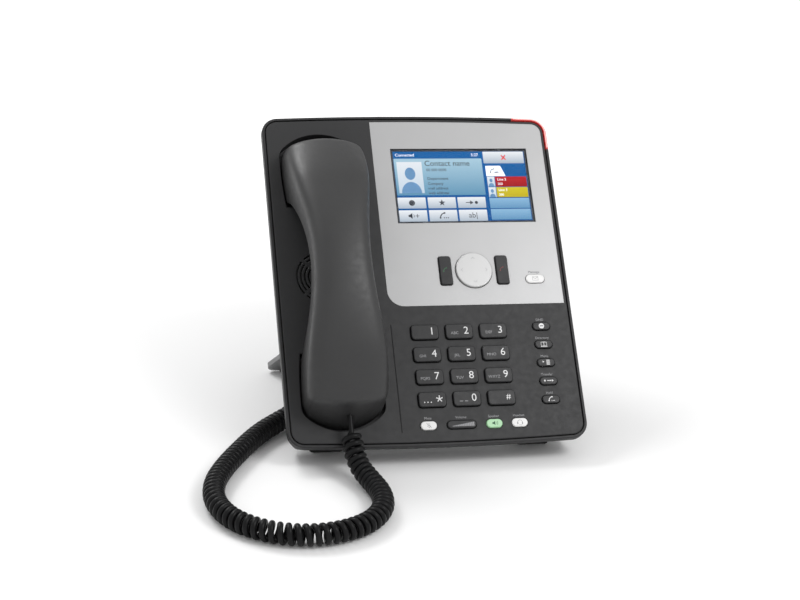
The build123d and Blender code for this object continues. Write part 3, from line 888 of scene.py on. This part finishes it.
def makeScreen():
    width, height = screen["size"]
    left, top = screen["middle"][0] - width / 2, screen["middle"][1] + height / 2

    def at(u, v):
        return left + u * width, top - v * height

    def card(layer, u0, v0, u1, v1, color, corner=0.0):
        x0, y1 = at(u0, v0)
        x1, y0 = at(u1, v1)
        layer.plate(x0, y0, x1, y1, screenIndex[color], corner)

    step = screen["layer"] * millimetre
    depth = screen["depth"] * millimetre
    layers = [Print(f"screen_layer_{i + 1}", depth + i * step, 0.0, step * 0.8) for i in range(5)]
    frameLayer, ground, cards, figures, marks = layers
    card(frameLayer, 0, 0, 1, 1, "dark")
    edgeU, edgeV = screen["border"] / width, screen["border"] / height
    card(ground, edgeU, edgeV, 1 - edgeU, 1 - edgeV, "blue")
    card(cards, 0.012, 0.115, 0.665, 0.625, "card", 0.5)
    columns = ((0.010, 0.215), (0.230, 0.436), (0.450, 0.658))
    rows = ((0.655, 0.805), (0.830, 0.985))
    for v0, v1 in rows:
        for u0, u1 in columns:
            card(cards, u0, v0, u1, v1, "button", 0.5)
    card(cards, 0.680, 0.020, 0.985, 0.185, "button", 0.5)
    x0, y0 = at(0.688, 0.365)
    x1, y1 = at(0.800, 0.220)
    cards.shape([(x0, y0), (x1 + 3.0, y0), (x1, y1), (x0, y1)], screenIndex["white"])
    card(cards, 0.750, 0.372, 0.985, 0.512, "red", 0.4)
    card(cards, 0.750, 0.520, 0.985, 0.660, "yellow", 0.4)
    card(cards, 0.688, 0.672, 0.985, 0.812, "row", 0.4)
    card(cards, 0.688, 0.824, 0.985, 0.970, "row", 0.4)
    figureCards = ((0.030, 0.160, 0.215, 0.595), (0.690, 0.372, 0.745, 0.512), (0.690, 0.520, 0.745, 0.660))
    for u0, v0, u1, v1 in figureCards:
        card(figures, u0, v0, u1, v1, "photo")
        (xa, ya), (xb, yb) = at(u0, v1), at(u1, v0)
        wide, tall, middle = xb - xa, yb - ya, (xa + xb) / 2
        marks.disc(middle, ya + 0.62 * tall, 0.21 * wide, screenIndex["figure"], 28, 1.25)
        shoulders = []
        for angle in range(0, 181, 15):
            turn = math.radians(angle)
            shoulders.append((middle + 0.40 * wide * math.cos(turn), ya + 0.36 * tall * math.sin(turn)))
        marks.shape(shoulders, screenIndex["figure"])
    dark, white = screenIndex["dark"], screenIndex["white"]
    texts = (("Connected", 0.025, 0.066, 3.0, white), ("5:27", 0.590, 0.066, 3.0, white),
             ("Contact name", 0.235, 0.185, 5.6, dark), ("00 000 0000", 0.245, 0.275, 2.8, dark),
             ("Department", 0.245, 0.395, 3.0, dark), ("Company", 0.245, 0.465, 2.8, dark),
             ("mail address", 0.245, 0.530, 2.8, dark), ("web address", 0.245, 0.595, 2.8, dark),
             ("Line 2", 0.765, 0.412, 2.6, white), ("200", 0.765, 0.475, 2.4, white),
             ("Line 3", 0.765, 0.560, 2.6, white), ("300", 0.765, 0.625, 2.4, white))
    for text, u, v, size, index in texts:
        x, y = at(u, v)
        marks.words(text, x, y, size, index, thin=-0.02, align="LEFT")
    x, y = at(0.832, 0.103)
    for lean in (-1, 1):
        marks.line([(x - 1.5 * lean, y - 1.7), (x + 1.5 * lean, y + 1.7)], 0.85, screenIndex["cross"])
    spots = [at((u0 + u1) / 2, (v0 + v1) / 2) for v0, v1 in rows for u0, u1 in columns]
    x, y = spots[0]
    marks.disc(x, y, 2.1, dark)
    x, y = spots[1]
    star = []
    for i in range(10):
        radius = 2.5 if i % 2 == 0 else 1.05
        angle = math.radians(90 + 36 * i)
        star.append((x + radius * math.cos(angle), y + radius * math.sin(angle)))
    marks.shape(star, dark)
    x, y = spots[2]
    marks.line([(x - 4.2, y), (x - 0.4, y)], 0.55, dark)
    marks.shape([(x - 1.2, y - 1.5), (x + 1.2, y), (x - 1.2, y + 1.5)], dark)
    marks.disc(x + 3.2, y, 1.1, dark, 20)
    x, y = spots[3]
    marks.shape([(x - 3.4, y - 0.8), (x - 2.4, y - 0.8), (x - 0.7, y - 2.1), (x - 0.7, y + 2.1),
                 (x - 2.4, y + 0.8), (x - 3.4, y + 0.8)], dark)
    marks.arc(x - 0.6, y, 1.2, -55, 55, 0.35, dark)
    marks.line([(x + 1.5, y), (x + 4.1, y)], 0.45, dark)
    marks.line([(x + 2.8, y - 1.3), (x + 2.8, y + 1.3)], 0.45, dark)
    x, y = spots[4]
    handsetIcon(marks, x, y, 1.3, dark)
    for i in range(3):
        marks.disc(x + 0.5 + 1.4 * i, y - 1.6, 0.4, dark, 12)
    x, y = spots[5]
    marks.words("ab|", x, y, 5.4, dark, thin=-0.02)
    x, y = at(0.745, 0.292)
    handsetIcon(marks, x - 0.6, y, 1.0, dark)
    for i in range(3):
        marks.disc(x + 1.1 + 1.0 * i, y - 1.0, 0.55, dark, 12)
    for layer in layers:
        layer.finish("base", "display", screenMaterials)


makeScreen()
print("screen ready")


# the glowing core of the light bar
lightCore = {"inset": 0.9, "corner": 11.0, "side": 100.0, "top": 234.0, "start": 77.2, "foot": 212.2,
             "radius": 0.00042, "flatness": 0.25, "steps": 8}


def makeLightCore():
    inset, corner, side, top = (lightCore[key] for key in ("inset", "corner", "side", "top"))
    x, y = side - corner, top - corner + 0.7
    radius = corner - inset
    points = [Vector((lightCore["start"], top + 1.2 - inset, 0)), Vector((82.0, top + 1.0 - inset, 0))]
    for i in range(lightCore["steps"] + 1):
        angle = math.radians(90 - 90 * i / lightCore["steps"])
        points.append(Vector((x + radius * math.cos(angle), y + radius * math.sin(angle), 0)))
    points.append(Vector((side - inset, lightCore["foot"], 0)))
    points = [point * millimetre for point in points]
    mesh = meshOf(routeCurve("light_core", points, lightCore["radius"], resolution=4), "light_core")
    mesh.transform(Matrix.Diagonal((1, 1, lightCore["flatness"], 1)))
    mesh.transform(facePlace)
    return finishPiece("light_core", mesh, "base", [pinkCore])


makeLightCore()


# spring contacts in the sockets
contacts = {
    "pitch": 1.02, "radius": 0.00018,
    "sockets": ((44, 8, 8.2), (24, 8, 8.2), (-38, 4, 6.9)),    # middle, number of contacts, socket height
    "bends": ((102.5, -34.6), (95.5, -34.0), (93.5, -32.8), (97.0, -31.8)),
}


def makeContacts():
    bm = bmesh.new()
    for middle, count, height in contacts["sockets"]:
        for i in range(count):
            x = middle + (i - (count - 1) / 2) * contacts["pitch"]
            points = [Vector((x, y, z - height / 2)) * millimetre for y, z in contacts["bends"]]
            mesh = meshOf(routeCurve("contact", points, contacts["radius"], resolution=3), "contact")
            bm.from_mesh(mesh)
            bpy.data.meshes.remove(mesh)
    mesh = bpy.data.meshes.new("socket_contacts")
    bm.to_mesh(mesh)
    bm.free()
    mesh.transform(facePlace)
    return finishPiece("socket_contacts", mesh, "base", [goldPlate])


makeContacts()


# floor and light
studio = {
    "floorRadius": 12, "paper": (0.90, 0.90, 0.90),
    # painted light on the floor: where its glow starts and ends, in metres from the middle, and how strong
    # it gets
    "glowFrom": 0.22, "glowTo": 0.80, "glow": 0.30,
    "sky": 0.78,
}


def makeFloor():
    bm = bmesh.new()
    bmesh.ops.create_circle(bm, cap_ends=True, segments=96, radius=studio["floorRadius"])
    mesh = bpy.data.meshes.new("floor")
    bm.to_mesh(mesh)
    bm.free()
    material, tree, shader = newMaterial("floor_paper", studio["paper"], 0.9)
    place = mottle(tree, shader, studio["paper"], 0.006, 0.4)
    # painted light: the paper glows more the farther it lies from the phone, standing in for a lit
    # backdrop; near the phone it does not glow
    reach = tree.nodes.new("ShaderNodeVectorMath")
    span = tree.nodes.new("ShaderNodeMapRange")
    reach.operation = "LENGTH"
    span.interpolation_type = "SMOOTHSTEP"
    span.inputs["From Min"].default_value = studio["glowFrom"]
    span.inputs["From Max"].default_value = studio["glowTo"]
    span.inputs["To Max"].default_value = studio["glow"]
    tree.links.new(place.outputs["Object"], reach.inputs[0])
    tree.links.new(reach.outputs["Value"], span.inputs["Value"])
    tree.links.new(span.outputs["Result"], shader.inputs["Emission Strength"])
    shader.inputs["Emission Color"].default_value = (1, 1, 1, 1)
    floor = bpy.data.objects.new("floor", mesh)
    mesh.materials.append(material)
    scene.collection.objects.link(floor)


def areaLight(name, place, target, size, power):
    data = bpy.data.lights.new(name, "AREA")
    data.shape = "RECTANGLE"
    data.size, data.size_y = size
    data.energy = power
    light = bpy.data.objects.new(name, data)
    light.location = place
    light.rotation_euler = (Vector(target) - Vector(place)).to_track_quat("-Z", "Y").to_euler()
    scene.collection.objects.link(light)


def makeWorld():
    world = bpy.data.worlds.new("studio")
    scene.world = world
    world.use_nodes = True
    background = world.node_tree.nodes["Background"]
    background.inputs["Color"].default_value = (1, 1, 1, 1)
    background.inputs["Strength"].default_value = studio["sky"]


makeFloor()
makeWorld()
areaLight("key_light", (0.55, -0.55, 0.95), (0.05, 0.0, 0.08), (0.42, 0.42), 4.2)
areaLight("back_light", (-0.45, 0.55, 0.9), (-0.05, 0.0, 0.12), (0.5, 0.35), 5.0)
print("stage ready")
